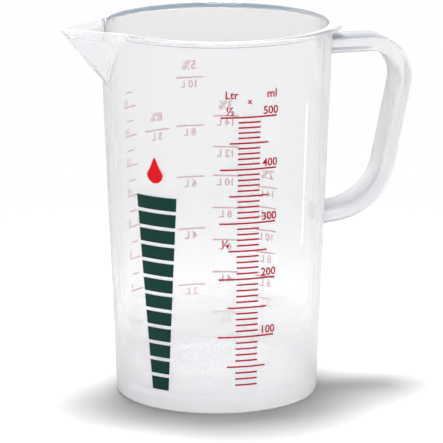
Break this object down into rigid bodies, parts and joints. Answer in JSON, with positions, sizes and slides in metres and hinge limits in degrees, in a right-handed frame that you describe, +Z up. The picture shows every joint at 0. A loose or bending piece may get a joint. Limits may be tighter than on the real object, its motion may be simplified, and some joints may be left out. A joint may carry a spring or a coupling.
{
  "type": "measuring jug",
  "caption": "Translucent half-litre measuring jug with a slightly tapered round body, beaded rim, V-shaped pouring spout and closed strap handle.",
  "frame": {"origin": "middle of the footprint from spout tip to handle, on the plane the jug stands on", "axes": "+Z up, +X towards the handle, -X towards the spout, +Y across"},
  "size_m": [0.1352, 0.0892, 0.141],
  "materials": {
    "polypropylene": "natural translucent polypropylene, smooth with a soft sheen",
    "screen_ink_red": "screen-printed red ink",
    "screen_ink_dark_green": "screen-printed dark green ink"
  },
  "bodies": {
    "root": {"jug": "polypropylene"}
  },
  "joints": []
}
